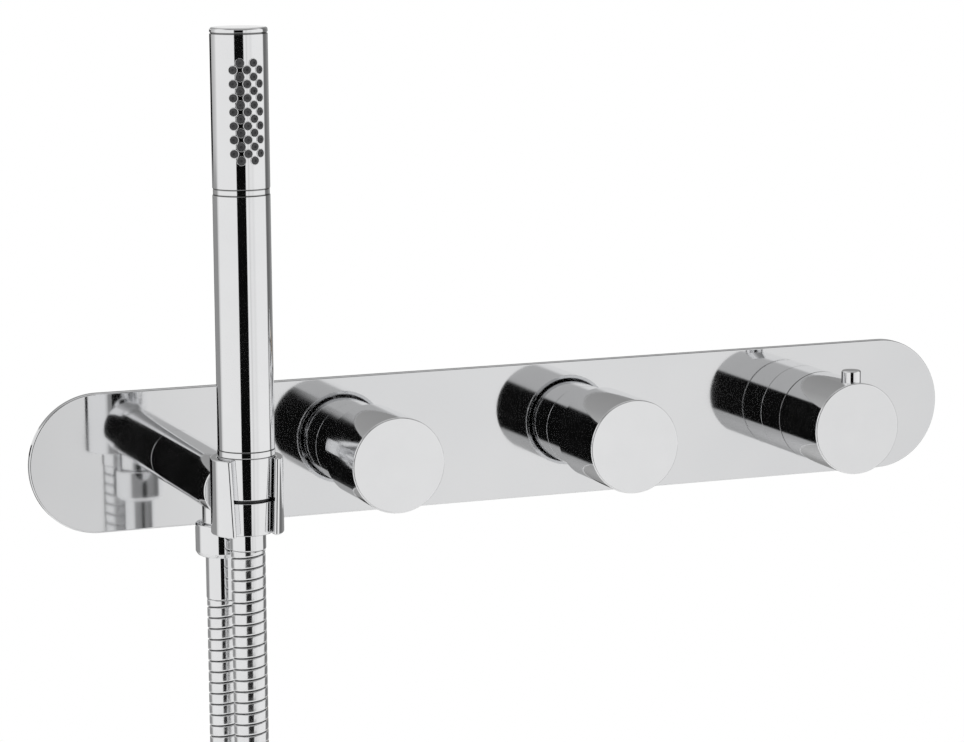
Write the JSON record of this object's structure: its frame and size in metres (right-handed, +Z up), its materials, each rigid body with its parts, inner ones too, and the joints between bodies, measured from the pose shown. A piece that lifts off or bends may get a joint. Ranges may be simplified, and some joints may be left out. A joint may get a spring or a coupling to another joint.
{
  "type": "thermostatic shower valve",
  "caption": "Wide round-ended chrome wall plate with flow knobs, a temperature knob with an override button, and an arm whose clip holds a pencil hand shower on its ribbed hose.",
  "frame": {"origin": "middle of the wall plate's back face, on the finished wall and level with the knobs' axes", "axes": "+X along the plate towards the temperature knob, +Y into the wall, +Z up"},
  "size_m": [0.5016, 0.2085, 0.6106],
  "materials": {
    "plate_chrome": "bright chrome plate on flat stainless sheet",
    "chrome": "bright mirror chrome plate on brass",
    "hose_chrome": "chrome plated interlocked strip",
    "cast_brass": "raw casting, faintly grainy",
    "turned_brass": "turned on a lathe",
    "rail_steel": "galvanised sheet",
    "screw_steel": "bright zinc",
    "spring_steel": "drawn stainless wire and sheet",
    "cartridge_plastic": "glass-filled moulding",
    "white_plastic": "acetal moulding",
    "black_plastic": "acetal moulding",
    "ceramic": "lapped white ceramic",
    "copper": "drawn copper shell",
    "seal_rubber": "smooth moulded rubber",
    "nozzle_rubber": "soft moulded silicone",
    "tie_rubber": "soft matt strap"
  },
  "bodies": {
    "valve": {"wall_plate": "plate_chrome", "flow_collars": "chrome", "temperature_collar": "chrome", "outlet_arm": "chrome", "outlet_nipple": "chrome", "handset_holder": "chrome", "hose_nut": "chrome", "hose_ferrule": "chrome", "outlet_hose": "hose_chrome", "hose_coil": "hose_chrome", "handset_hose": "hose_chrome", "valve_body": "cast_brass", "gland_nuts": "turned_brass", "fixing_rail": "rail_steel", "body_screws": "screw_steel", "holder_screw": "screw_steel", "hot_check_spring": "spring_steel", "cold_check_spring": "spring_steel", "shuttle_spring": "spring_steel", "inlet_strainers": "spring_steel", "flow_housings": "cartridge_plastic", "thermostat_housing": "cartridge_plastic", "check_valve_housings": "white_plastic", "stop_ring": "white_plastic", "fixed_discs": "ceramic", "plate_seal": "seal_rubber", "cartridge_seals": "seal_rubber", "hose_washer": "seal_rubber", "hose_tie": "tie_rubber"},
    "overhead_control": {"overhead_moving_disc": "ceramic", "overhead_spindle": "turned_brass", "overhead_adaptor": "white_plastic", "overhead_knob_screw": "screw_steel", "overhead_knob": "chrome"},
    "handset_control": {"handset_moving_disc": "ceramic", "handset_spindle": "turned_brass", "handset_adaptor": "white_plastic", "handset_knob_screw": "screw_steel", "handset_knob": "chrome"},
    "temperature_control": {"temperature_spindle": "turned_brass", "temperature_adaptor": "white_plastic", "temperature_knob_screw": "screw_steel", "temperature_knob": "chrome", "override_spring": "spring_steel"},
    "override_button": {"override_button": "chrome"},
    "mixing_element": {"mixing_shuttle": "white_plastic", "wax_element": "copper", "drive_nut": "turned_brass"},
    "hot_check": {"hot_check_poppet": "black_plastic"},
    "cold_check": {"cold_check_poppet": "black_plastic"},
    "hose_end": {"hose_cone": "chrome"},
    "handset": {"swivel_washer": "seal_rubber", "handset_connector": "chrome", "handle_tube": "chrome", "water_tube": "white_plastic", "band_ring": "chrome", "handset_head": "chrome", "nozzle_insert": "nozzle_rubber", "head_cap": "chrome"}
  },
  "joints": [
    {"name": "overhead_turn", "type": "hinge", "parent": "valve", "child": "overhead_control", "pos_m": [0.041, 0, 0], "axis": [0, -1, 0], "range_deg": [0, 90]},
    {"name": "handset_turn", "type": "hinge", "parent": "valve", "child": "handset_control", "pos_m": [-0.078, 0, 0], "axis": [0, -1, 0], "range_deg": [0, 90]},
    {"name": "temperature_turn", "type": "hinge", "parent": "valve", "child": "temperature_control", "pos_m": [0.16, 0, 0], "axis": [0, -1, 0], "range_deg": [-130, 45]},
    {"name": "override_press", "type": "slide", "parent": "temperature_control", "child": "override_button", "axis": [0, 0, -1], "range_m": [0, 0.0025], "stiffness_N_per_m": 1500, "springref_m": -0.002, "deforming": ["override_spring"]},
    {"name": "mixing_slide", "type": "slide", "parent": "valve", "child": "mixing_element", "axis": [0, -1, 0], "range_m": [-0.0012, 0.0005], "deforming": ["shuttle_spring"]},
    {"name": "hot_check_lift", "type": "slide", "parent": "valve", "child": "hot_check", "axis": [0, -1, 0], "range_m": [0, 0.003], "stiffness_N_per_m": 100, "springref_m": -0.002, "deforming": ["hot_check_spring"]},
    {"name": "cold_check_lift", "type": "slide", "parent": "valve", "child": "cold_check", "axis": [0, -1, 0], "range_m": [0, 0.003], "stiffness_N_per_m": 100, "springref_m": -0.002, "deforming": ["cold_check_spring"]},
    {"name": "handset_lift", "type": "slide", "parent": "valve", "child": "hose_end", "axis": [0, 0, 1], "range_m": [0, 0.045], "deforming": ["handset_hose"]},
    {"name": "handset_swivel", "type": "hinge", "parent": "hose_end", "child": "handset", "pos_m": [-0.166, -0.111, 0], "axis": [0, 0, 1], "continuous": true}
  ],
  "couplings": [
    {"joint": "mixing_slide", "follows": "temperature_turn", "m_per_rad": 0.000477}
  ]
}
